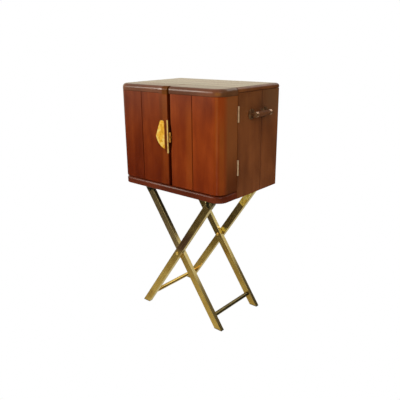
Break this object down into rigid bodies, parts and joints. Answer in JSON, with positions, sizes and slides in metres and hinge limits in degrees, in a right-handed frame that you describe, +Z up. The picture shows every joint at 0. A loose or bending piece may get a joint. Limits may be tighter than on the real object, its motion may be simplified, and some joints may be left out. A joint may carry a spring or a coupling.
{
  "type": "fold-out bar cabinet",
  "caption": "Wooden bar cabinet with deep swing-out doors that hold bottles, brass fittings and side handles, on a folding crossed-leg brass stand.",
  "frame": {"origin": "on the floor, under the middle of the whole object's box", "axes": "+X to the right seen from the front, +Y to the back, +Z up; the doors face -Y"},
  "size_m": [0.718, 0.4582, 1.2],
  "materials": {
    "front_wood": "glossy reddish lacquer over mahogany",
    "case_wood": "satin dark brown lacquer over mahogany",
    "inside_wood": "satin lacquer",
    "stand_brass": "polished, lightly aged",
    "bright_brass": "polished",
    "lock_brass": "polished",
    "fitting_brass": "polished",
    "grip_leather": "smooth",
    "foot_plug": "matt"
  },
  "bodies": {
    "outer_frame": {"outer_front_leg": "stand_brass", "outer_rear_leg": "stand_brass", "outer_front_leg_head": "bright_brass", "outer_rear_leg_head": "bright_brass", "outer_top_bar": "stand_brass", "outer_lower_bar": "stand_brass", "outer_foot_plugs": "foot_plug", "pivot_bolts": "bright_brass", "pivot_washers": "bright_brass", "pivot_nuts": "bright_brass"},
    "inner_frame": {"inner_front_leg": "stand_brass", "inner_rear_leg": "stand_brass", "inner_front_leg_head": "bright_brass", "inner_rear_leg_head": "bright_brass", "inner_top_bar": "stand_brass", "inner_lower_bar": "stand_brass", "inner_foot_plugs": "foot_plug"},
    "cabinet": {"base_board": "front_wood", "left_side_panel": "case_wood", "right_side_panel": "case_wood", "back_panel": "case_wood", "top_board": "case_wood", "case_shelf": "inside_wood", "shelf_cleats": "inside_wood", "glass_rails": "inside_wood", "saddles": "fitting_brass", "handle_mounts": "fitting_brass", "left_handle_grip": "grip_leather", "right_handle_grip": "grip_leather", "left_hinge_case_leaves": "fitting_brass", "right_hinge_case_leaves": "fitting_brass"},
    "left_door": {"left_door_corner_board": "front_wood", "left_door_plank": "front_wood", "left_door_stile": "front_wood", "left_door_cap": "front_wood", "left_door_floor": "inside_wood", "left_door_shelf": "inside_wood", "left_door_meeting_board": "inside_wood", "left_door_rails": "fitting_brass", "left_hinge_door_leaves": "fitting_brass", "left_hinge_pins": "fitting_brass", "lock_plate": "lock_brass", "edge_plate": "lock_brass"},
    "right_door": {"right_door_corner_board": "front_wood", "right_door_plank": "front_wood", "right_door_cap": "front_wood", "right_door_floor": "inside_wood", "right_door_shelf": "inside_wood", "right_door_meeting_board": "inside_wood", "right_door_rails": "fitting_brass", "right_hinge_door_leaves": "fitting_brass", "right_hinge_pins": "fitting_brass", "button_screw": "lock_brass"},
    "turn_button": {"turn_button": "lock_brass"}
  },
  "joints": [
    {"name": "case_lift", "type": "slide", "parent": "outer_frame", "child": "cabinet", "axis": [0, 0, 1], "range_m": [0, 0.34]},
    {"name": "stand_fold", "type": "hinge", "parent": "outer_frame", "child": "inner_frame", "pos_m": [0, 0.02065, 0.35942], "axis": [0, 1, 0], "range_deg": [0, 63]},
    {"name": "left_door_swing", "type": "hinge", "parent": "cabinet", "child": "left_door", "pos_m": [-0.32355, -0.09985, 0.95], "axis": [0, 0, -1], "range_deg": [0, 150]},
    {"name": "right_door_swing", "type": "hinge", "parent": "cabinet", "child": "right_door", "pos_m": [0.32355, -0.09985, 0.95], "axis": [0, 0, 1], "range_deg": [0, 150]},
    {"name": "button_turn", "type": "hinge", "parent": "right_door", "child": "turn_button", "pos_m": [0.0265, -0.22535, 0.97], "axis": [0, -1, 0], "range_deg": [0, 90]}
  ],
  "couplings": [
    {"joint": "stand_fold", "follows": "case_lift", "rad_per_m": 3.234}
  ]
}
